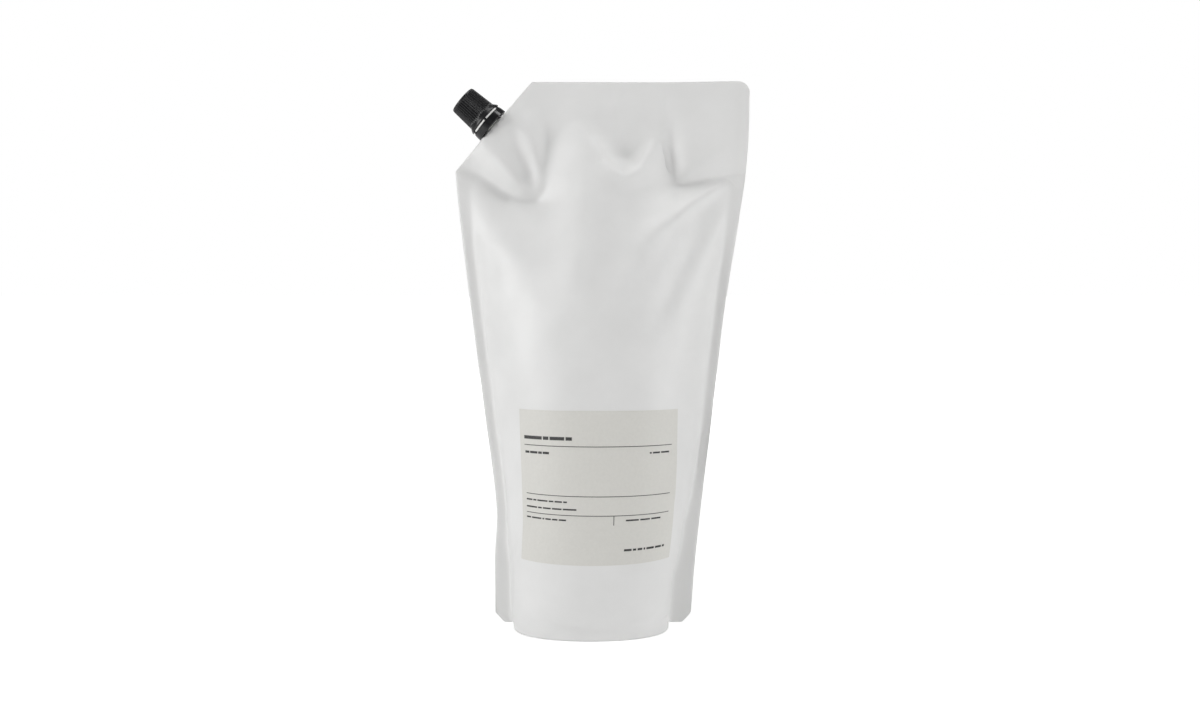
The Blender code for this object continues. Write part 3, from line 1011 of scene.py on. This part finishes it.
class FilmReader:
    """Gives the standing place and outward normal for a place on the front film's flat pattern."""

    def __init__(self, flat: np.ndarray, places: np.ndarray, faces: list[list[int]]) -> None:
        """Stores the flat pattern's triangles and the standing film.

        Args:
            flat: Flat pattern places, one (across, up) a row.
            places: Standing places, one a row.
            faces: Vertex numbers of the front film's faces.
        """
        self.flat = [Vector((float(a), 0.0, float(b))) for a, b in flat]
        self.places = [Vector(p) for p in places]
        self.triangles = [(f[0], f[k], f[k + 1]) for f in faces for k in range(1, len(f) - 1)]
        self.tree = BVHTree.FromPolygons(self.flat, self.triangles)
        normals = [Vector() for _ in self.places]
        for a, b, c in self.triangles:
            out = (self.places[b] - self.places[a]).cross(self.places[c] - self.places[a])
            out = -out if out.y > 0 else out
            for i in (a, b, c):
                normals[i] += out
        self.normals = [n.normalized() for n in normals]

    def read(self, across: float, up: float) -> tuple[Vector, Vector]:
        """Looks up a place on the flat pattern.

        Args:
            across: Place across it.
            up: Height on it.

        Returns:
            Where it stands on the filled film, and the film's outward normal there.
        """
        point = Vector((across, 0.0, up))
        near, _, index, _ = self.tree.find_nearest(point)
        corners = self.triangles[index]
        flat = [self.flat[i] for i in corners]
        place = barycentric_transform(near, *flat, *[self.places[i] for i in corners])
        normal = barycentric_transform(near, *flat, *[self.normals[i] for i in corners])
        return place, normal.normalized()


# ------------------------------------------------------------------ the label


@dataclass
class StickerLabel:
    """Front sticker with ruled lines and rows of plain marks, laid on the filled film."""

    reader: FilmReader
    low: float
    high: float
    middle: float = 0.0012
    half_width: float = 0.0445
    lift: float = 0.00006
    thickness: float = 0.00010
    ink: float = 0.00003
    grid: float = 0.002

    def place(self, u: float, v: float, lift: float) -> Vector:
        """Place on the sticker, or over it.

        Args:
            u: Share of the way from its left to its right.
            v: Share of the way from its top to its foot.
            lift: Height over the film.

        Returns:
            The place.
        """
        across = self.middle + (2 * u - 1) * self.half_width
        point, normal = self.reader.read(across, self.high + (self.low - self.high) * v)
        return point + normal * lift

    def patch(self, bm: bmesh.types.BMesh, box: Box, lift: float) -> None:
        """Adds one rectangle of the sticker, wrapped on the film.

        Args:
            bm: Mesh to add it to.
            box: Left, top, right and foot as shares of the sticker.
            lift: Height over the film.
        """
        left, top, right, foot = box
        columns = max(1, round((right - left) * 2 * self.half_width / self.grid))
        lines = max(1, round((foot - top) * (self.high - self.low) / self.grid))
        made = bmesh.ops.create_grid(bm, x_segments=columns, y_segments=lines, size=0.5)["verts"]
        for vert in made:
            u = left + (right - left) * (vert.co.x + 0.5)
            v = foot + (top - foot) * (vert.co.y + 0.5)
            vert.co = self.place(u, v, lift)

    def build_sticker(self, material: bpy.types.Material) -> bpy.types.Object:
        """Builds the sticker itself."""
        bm = bmesh.new()
        self.patch(bm, (0.0, 0.0, 1.0, 1.0), self.lift)
        self.thicken(bm, self.thickness)
        sticker = mesh_object("label_sticker", bm, material, 60.0)
        fasten(sticker, PACK, "label_paper", "front_label")
        return sticker

    def thicken(self, bm: bmesh.types.BMesh, thickness: float) -> None:
        """Gives sheets that lie on the film their thickness, away from it."""
        for face in bm.faces:
            face.normal_update()
            if face.normal.y < 0:
                face.normal_flip()
        bmesh.ops.solidify(bm, geom=bm.faces[:], thickness=thickness)
        bmesh.ops.recalc_face_normals(bm, faces=bm.faces[:])

    def marks(self) -> list[Box]:
        """Boxes of the print: three rules, a short upright, a heading bar and rows of plain dashes.

        Returns:
            Left, top, right and foot of each one, as shares of the sticker.
        """
        boxes = [
            (0.034, 0.2285, 0.955, 0.2331), (0.040, 0.5490, 0.945, 0.5532),
            (0.040, 0.6730, 0.945, 0.6772), (0.583, 0.677, 0.5868, 0.737),
        ]
        # left, right, top, height, lengths in turn, gap
        rows = (
            (0.034, 0.345, 0.170, 0.022, (0.125, 0.035, 0.090, 0.045), 0.008),
            (0.040, 0.205, 0.270, 0.015, (0.030, 0.052, 0.024, 0.045), 0.006),
            (0.800, 0.945, 0.271, 0.011, (0.012, 0.048, 0.058, 0.012), 0.008),
            (0.040, 0.345, 0.585, 0.010, (0.045, 0.022, 0.070, 0.030), 0.008),
            (0.040, 0.390, 0.632, 0.010, (0.080, 0.026, 0.052, 0.060), 0.008),
            (0.040, 0.310, 0.702, 0.010, (0.034, 0.070, 0.012, 0.036), 0.008),
            (0.655, 0.880, 0.702, 0.010, (0.078, 0.062), 0.010),
            (0.655, 0.930, 0.896, 0.014, (0.046, 0.020, 0.030, 0.010, 0.052), 0.009),
        )
        for left, right, top, height, lengths, gap in rows:
            at, k = left, 0
            while at < right - lengths[k % len(lengths)] * 0.5:
                end = min(at + lengths[k % len(lengths)], right)
                boxes.append((at, top, end, top + height))
                at, k = end + gap, k + 1
        return boxes

    def build_print(self, material: bpy.types.Material) -> bpy.types.Object:
        """Builds the print as a thin layer of ink on the sticker."""
        bm = bmesh.new()
        for box in self.marks():
            self.patch(bm, box, self.lift + self.thickness + self.ink)
        self.thicken(bm, self.ink)
        ink = mesh_object("label_print", bm, material, 60.0)
        fasten(ink, PACK, "label_paper")
        return ink


# ------------------------------------------------------------------ spout, ring and cap


@dataclass
class Fitting:
    """Where the spout stands: its foot on the corner cut and its axis, and how pieces are turned about it."""

    foot: Vector
    axis: Vector

    def turn(self) -> Matrix:
        """Matrix from the fitting's own axes, +Z out along the spout, to the frame."""
        side = Vector((0.0, 1.0, 0.0))
        along = side.cross(self.axis)
        return Matrix.Translation(self.foot) @ Matrix((along, side, self.axis)).transposed().to_4x4()

    def lathe(self, profile: list[Point], segments: int, closed: bool = True) -> bmesh.types.BMesh:
        """Spins a (radius, height) profile into a turned piece.

        Args:
            profile: Points in order.
            segments: Steps round the circle.
            closed: Joins the last point to the first.

        Returns:
            The turned mesh about its own Z axis.
        """
        bm = bmesh.new()
        points = [bm.verts.new((radius, 0.0, height)) for radius, height in profile]
        pairs = list(zip(points, points[1:])) + ([(points[-1], points[0])] if closed else [])
        edges = [bm.edges.new(pair) for pair in pairs]
        bmesh.ops.spin(
            bm, geom=points + edges, cent=(0, 0, 0), axis=(0, 0, 1),
            angle=2 * math.pi, steps=segments, use_merge=True,
        )
        bmesh.ops.remove_doubles(bm, verts=bm.verts[:], dist=1e-6)
        bmesh.ops.recalc_face_normals(bm, faces=bm.faces[:])
        return bm

    def helix(
        self, radius: float, rise: float, width: float, start: float, pitch: float, turns: float,
        inward: bool = False,
    ) -> bmesh.types.BMesh:
        """A thread's ridge: its triangle section is spun with a lift, and its ends are capped.

        Args:
            radius: Radius that the ridge stands on.
            rise: Height of the ridge.
            width: Width of its foot.
            start: Height of its first turn.
            pitch: Rise for each turn.
            turns: Number of turns.
            inward: True for a thread inside a cap.

        Returns:
            The ridge about its own Z axis.
        """
        way = -1.0 if inward else 1.0
        steps = round(48 * turns)
        bm = bmesh.new()
        root, crest, flat = radius - way * 0.0002, radius + way * rise, width * 0.12
        section = [(root, -width / 2), (crest, -flat), (crest, flat), (root, width / 2)]
        points = [bm.verts.new((r, 0.0, start + z)) for r, z in section]
        first = bm.faces.new(points)
        climb = (0, 0, pitch * turns / steps)
        angle = 2 * math.pi * turns
        bmesh.ops.spin(bm, geom=[first], cent=(0, 0, 0), axis=(0, 0, 1), dvec=climb, angle=angle, steps=steps)
        bmesh.ops.recalc_face_normals(bm, faces=bm.faces[:])
        return bm

    def finish(
        self, name: str, bm: bmesh.types.BMesh, material: bpy.types.Material, smooth_below: float = 35.0
    ) -> bpy.types.Object:
        """Stands a piece on the fitting's axis.

        Args:
            name: Object name.
            bm: The piece about its own Z axis.
            material: Its finish.
            smooth_below: Edges sharper than this many degrees stay hard.

        Returns:
            The new object.
        """
        bmesh.ops.transform(bm, matrix=self.turn(), verts=bm.verts[:])
        return mesh_object(name, bm, material, smooth_below)


@dataclass
class Spout:
    """Neck with stop ring and thread, on the boat-shaped base that the films are welded to."""

    fitting: Fitting
    bore: float = 0.0043
    neck: float = 0.0058
    mouth: float = 0.0192
    ring_radius: float = 0.0083
    ring_low: float = 0.0036
    ring_high: float = 0.0054
    lip_radius: float = 0.00975
    lip_low: float = 0.00428
    lip_high: float = 0.00512
    boat_half_length: float = 0.0172
    boat_half_depth: float = 0.0050
    boat_top: float = -0.0004
    boat_point: float = 1.3

    def build(self, material: bpy.types.Material) -> None:
        """Builds the neck, its thread and the boat."""
        profile = [
            (self.bore, self.mouth - 0.0004), (self.bore + 0.0004, self.mouth),
            (self.neck - 0.0005, self.mouth),
            (self.neck - 0.0001, self.mouth - 0.0003), (self.neck, self.mouth - 0.0008),
            (self.neck, self.ring_high + 0.0004), (self.neck + 0.0003, self.ring_high),
            (self.ring_radius - 0.0003, self.ring_high), (self.ring_radius, self.ring_high - 0.0003),
            (self.ring_radius, self.lip_high), (self.lip_radius - 0.0001, self.lip_high),
            (self.lip_radius, self.lip_high - 0.0001), (self.lip_radius, self.lip_low + 0.0001),
            (self.lip_radius - 0.0001, self.lip_low), (self.ring_radius - 0.0002, self.lip_low),
            (self.ring_radius - 0.0004, self.ring_low), (self.neck + 0.0002, self.ring_low),
            (self.neck + 0.0002, 0.0001), (self.bore, 0.0001), (self.bore, self.mouth * 0.5),
        ]
        neck = self.fitting.finish("spout_neck", self.fitting.lathe(profile, 96), material)
        fasten(neck, PACK, "natural_plastic", "spout")
        thread = self.fitting.helix(self.neck, rise=0.0007, width=0.0014, start=0.0092, pitch=0.0030, turns=2.4)
        fasten(self.fitting.finish("spout_thread", thread, material), PACK, "natural_plastic")
        fasten(self.fitting.finish("spout_boat", self.boat(), material), PACK, "natural_plastic")

    def boat(self) -> bmesh.types.BMesh:
        """The welded base: a plate that is a pointed oval, stepped in twice on its way down.

        Returns:
            The closed plate about the fitting's own Z axis.
        """
        bm = bmesh.new()
        steps = 32
        ring = []
        for k in range(2 * steps):
            angle = math.pi * k / steps
            bow = math.copysign(abs(math.sin(angle)) ** self.boat_point, math.sin(angle))
            across = bow * self.boat_half_depth
            ring.append(bm.verts.new((self.boat_half_length * math.cos(angle), across, self.boat_top)))
        plate = bm.faces.new(ring)
        for depth, inset in ((0.0020, 0.0), (0.0, 0.0004), (0.0015, 0.0), (0.0, -0.0004), (0.0020, 0.0)):
            if inset:
                bmesh.ops.inset_region(bm, faces=[plate], thickness=abs(inset), depth=0.0, use_even_offset=True)
            if depth:
                made = bmesh.ops.extrude_face_region(bm, geom=[plate], use_keep_orig=False)
                verts = [v for v in made["geom"] if isinstance(v, bmesh.types.BMVert)]
                bmesh.ops.translate(bm, verts=verts, vec=(0.0, 0.0, -depth))
                old = plate
                plate = next(f for f in made["geom"] if isinstance(f, bmesh.types.BMFace))
                if old.is_valid:
                    bmesh.ops.delete(bm, geom=[old], context="FACES_ONLY")
        top = [e for e in bm.edges if e.is_boundary]
        if top:
            bmesh.ops.contextual_create(bm, geom=top)
        bmesh.ops.recalc_face_normals(bm, faces=bm.faces[:])
        if bm.calc_volume(signed=True) < 0.0:
            bmesh.ops.reverse_faces(bm, faces=bm.faces[:])
        return bm


@dataclass
class TamperRing:
    """Glossy ring left on the neck, with the small bridges that snap when the cap first turns."""

    fitting: Fitting
    radius: float = 0.01015
    low: float = 0.0002
    high: float = 0.0042
    inner: float = 0.0086
    bead: float = 0.0066
    bridges: int = 6
    bridge_top: float = 0.0053
    bridge_depth: float = 0.0007
    bridge_width: float = 0.0012

    def build(self, material: bpy.types.Material) -> None:
        """Builds the ring and its bridges."""
        soft = 0.00035
        profile = [
            (self.inner, self.high - soft), (self.inner + soft, self.high),
            (self.radius - 0.0002 - soft, self.high), (self.radius - 0.0002, self.high - soft),
            (self.radius, self.low + 0.0012), (self.radius, self.low + soft), (self.radius - soft, self.low),
            (self.bead, self.low), (self.bead, self.low + 0.0018), (self.inner, self.low + 0.0026),
        ]
        ring = self.fitting.finish("snap_ring", self.fitting.lathe(profile, 128), material)
        fasten(ring, PACK, "black_plastic", "tamper_ring")
        bm = bmesh.new()
        for k in range(self.bridges):
            angle = 2 * math.pi * (k / self.bridges + 0.75)
            height = self.bridge_top - self.high + 0.0004
            centre = (self.radius - 0.0002, 0.0, self.bridge_top - height / 2)
            place = Matrix.Rotation(angle, 4, "Z") @ Matrix.Translation(centre)
            size = Matrix.Diagonal((self.bridge_depth, self.bridge_width, height, 1.0))
            made = bmesh.ops.create_cube(bm, size=1.0, matrix=place @ size)["verts"]
            edges = list({e for v in made for e in v.link_edges})
            bmesh.ops.bevel(bm, geom=edges, offset=0.0001, segments=2, profile=0.5, affect="EDGES", material=-1)
        fasten(self.fitting.finish("ring_bridges", bm, material), PACK, "black_plastic")


@dataclass
class ScrewCap:
    """Ribbed cap with a smooth crown, a flared skirt and a hollow threaded inside."""

    fitting: Fitting
    top: float = 0.0215
    foot: float = 0.0052
    crown_radius: float = 0.0078
    waist: float = 0.0084
    waist_radius: float = 0.0086
    skirt_radius: float = 0.00995
    ribs: int = 40
    rib_depth: float = 0.00045
    inner: float = 0.0068
    mouth: float = 0.0192

    def grip_radius(self, height: float) -> float:
        """Outer radius of the tapering grip."""
        share = (height - self.waist) / (self.top - self.waist)
        return self.waist_radius + (self.crown_radius - self.waist_radius) * share

    def profile(self) -> list[Point]:
        """(radius, height) from the crown's middle down the outside and back up the hollow."""
        crown = [
            (0.0, self.top - 0.0001), (self.crown_radius - 0.0016, self.top - 0.0001),
            (self.crown_radius - 0.0009, self.top),
        ]
        rim = 0.0006
        centre = (self.crown_radius - rim, self.top - rim)
        for k in range(6):
            angle = math.pi / 2 * (1 - k / 5)
            crown.append((centre[0] + rim * math.cos(angle), centre[1] + rim * math.sin(angle)))
        grip = [(self.grip_radius(h), h) for h in np.linspace(self.top - 0.0009, self.waist + 0.0002, 24)]
        flare = [
            (self.waist_radius + 0.00012, self.waist - 0.0003),
            (self.waist_radius + 0.0005, self.waist - 0.0010),
            (self.skirt_radius - 0.0005, self.foot + 0.0017), (self.skirt_radius - 0.0001, self.foot + 0.0010),
            (self.skirt_radius, self.foot + 0.0006), (self.skirt_radius, self.foot + 0.0002),
            (self.skirt_radius - 0.0002, self.foot),
        ]
        hollow = [
            (0.0091, self.foot), (0.0089, self.foot + 0.0002), (0.0089, self.foot + 0.0008),
            (self.inner, self.foot + 0.0026),
            (self.inner, self.mouth + 0.0003), (0.0040, self.mouth + 0.0003), (0.0038, self.mouth - 0.0014),
            (0.0030, self.mouth - 0.0014), (0.0030, self.mouth + 0.0008), (0.0, self.mouth + 0.0008),
        ]
        return crown + grip + flare + hollow

    def rib(self, angle: float) -> float:
        """Share of the rib depth at an angle round the cap."""
        return (0.5 + 0.5 * math.cos(angle * self.ribs)) ** 0.8

    def build(self, material: bpy.types.Material) -> None:
        """Builds the shell with its ribs, and the thread inside."""
        bm = self.fitting.lathe(self.profile(), self.ribs * 8, closed=False)
        for vert in bm.verts:
            radius = math.hypot(vert.co.x, vert.co.y)
            if radius < self.inner + 0.0004 or not self.waist - 0.0004 < vert.co.z < self.top - 0.0004:
                continue
            depth = ease(self.top - 0.0009, self.top - 0.0015, vert.co.z)
            depth *= ease(self.waist - 0.0003, self.waist + 0.0005, vert.co.z)
            angle = math.atan2(vert.co.y, vert.co.x)
            shift = -self.rib_depth * depth * (1.0 - self.rib(angle))
            vert.co.xy *= 1.0 + shift / radius
        shell = self.fitting.finish("screw_cap", bm, material, 50.0)
        fasten(shell, CAP, "black_plastic", "cap")
        thread = self.fitting.helix(
            self.inner, rise=0.00045, width=0.0012, start=0.0105, pitch=0.0030, turns=2.0, inward=True
        )
        fasten(self.fitting.finish("cap_thread", thread, material), CAP, "black_plastic")


# ------------------------------------------------------------------ studio


@dataclass(frozen=True)
class SoftBox:
    """One square area light, aimed at the pouch's middle."""

    name: str
    place: tuple[float, float, float]
    size: float
    power: float

    def build(self) -> None:
        """Adds the light."""
        light = bpy.data.lights.new(self.name, "AREA")
        light.size, light.energy = self.size, self.power
        placed = bpy.data.objects.new(self.name, light)
        placed.location = self.place
        aim = Vector((0.0, 0.0, 0.14)) - Vector(self.place)
        placed.rotation_euler = aim.to_track_quat("-Z", "Y").to_euler()
        bpy.context.scene.collection.objects.link(placed)


@dataclass
class Studio:
    """Pale seamless floor, soft boxes and the camera."""

    camera_distance: float = 0.750
    camera_height: float = 0.198
    aim_height: float = 0.1405
    lens: float = 42.34
    sensor: float = 36.0
    floor_size: float = 6.0
    fill: float = 0.15
    boxes: tuple[SoftBox, ...] = (
        SoftBox("left_box", (-0.82, -0.44, 0.34), 0.5, 4.6),
        SoftBox("right_box", (0.76, -0.34, 0.16), 0.5, 3.0),
        SoftBox("top_box", (0.0, -0.12, 1.0), 0.5, 2.3),
        SoftBox("front_box", (0.1, -1.5, 0.35), 1.0, 0.4),
        SoftBox("cap_box", (0.48, -0.09, 1.00), 0.3, 1.4),
        SoftBox("back_box", (-0.30, 1.40, 0.60), 1.0, 7.0),
    )

    def build(self) -> None:
        """Adds the floor, the surrounding white, the lights and the camera."""
        self.build_floor()
        self.build_world()
        for box in self.boxes:
            box.build()
        self.build_camera()

    def build_floor(self) -> None:
        """Adds the floor."""
        bm = bmesh.new()
        bmesh.ops.create_grid(bm, x_segments=1, y_segments=1, size=self.floor_size)
        floor = mesh_object("floor", bm, StudioFinish().material())

    def build_world(self) -> None:
        """Makes all round the floor white to the camera, and a faint fill to everything else."""
        bpy.context.scene.view_settings.view_transform = "Standard"
        world = bpy.data.worlds.new("studio")
        world.use_nodes = True
        background = world.node_tree.nodes["Background"]
        background.inputs["Color"].default_value = (1.0, 1.0, 1.0, 1.0)
        seen = world.node_tree.nodes.new("ShaderNodeLightPath")
        level = world.node_tree.nodes.new("ShaderNodeMapRange")
        level.inputs["To Min"].default_value = self.fill
        world.node_tree.links.new(seen.outputs["Is Camera Ray"], level.inputs["Value"])
        world.node_tree.links.new(level.outputs["Result"], background.inputs["Strength"])
        bpy.context.scene.world = world

    def build_camera(self) -> None:
        """Adds the camera, tipped down at the pouch's middle."""
        camera = bpy.data.cameras.new("camera")
        camera.lens, camera.sensor_width = self.lens, self.sensor
        placed = bpy.data.objects.new("camera", camera)
        placed.location = (0.0, -self.camera_distance, self.camera_height)
        pitch = math.atan2(self.camera_height - self.aim_height, self.camera_distance)
        placed.rotation_euler = (math.pi / 2 - pitch, 0.0, 0.0)
        bpy.context.scene.collection.objects.link(placed)
        bpy.context.scene.camera = placed


def main() -> None:
    """Builds every piece in order."""
    logging.basicConfig(level=logging.INFO, format="%(name)s %(message)s")
    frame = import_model()
    outline = Outline(height=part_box("pouch")[1].z)
    film = FilmFinish().material()
    pouch = FilledPouch(outline)
    pouch.build(film)
    label_low, label_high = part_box("front_label")
    label = StickerLabel(pouch.front, label_low.z, label_high.z)
    label.build_sticker(StickerFinish().material())
    label.build_print(InkFinish().material())
    fitting = Fitting(outline.spout_foot(), Vector(frame["joints"][0]["axis"]).normalized())
    Spout(fitting).build(Plastic.NATURAL.material())
    TamperRing(fitting).build(Plastic.GLOSS_BLACK.material())
    ScrewCap(fitting).build(Plastic.SATIN_BLACK.material())
    Studio().build()


if __name__ == "__main__":
    main()
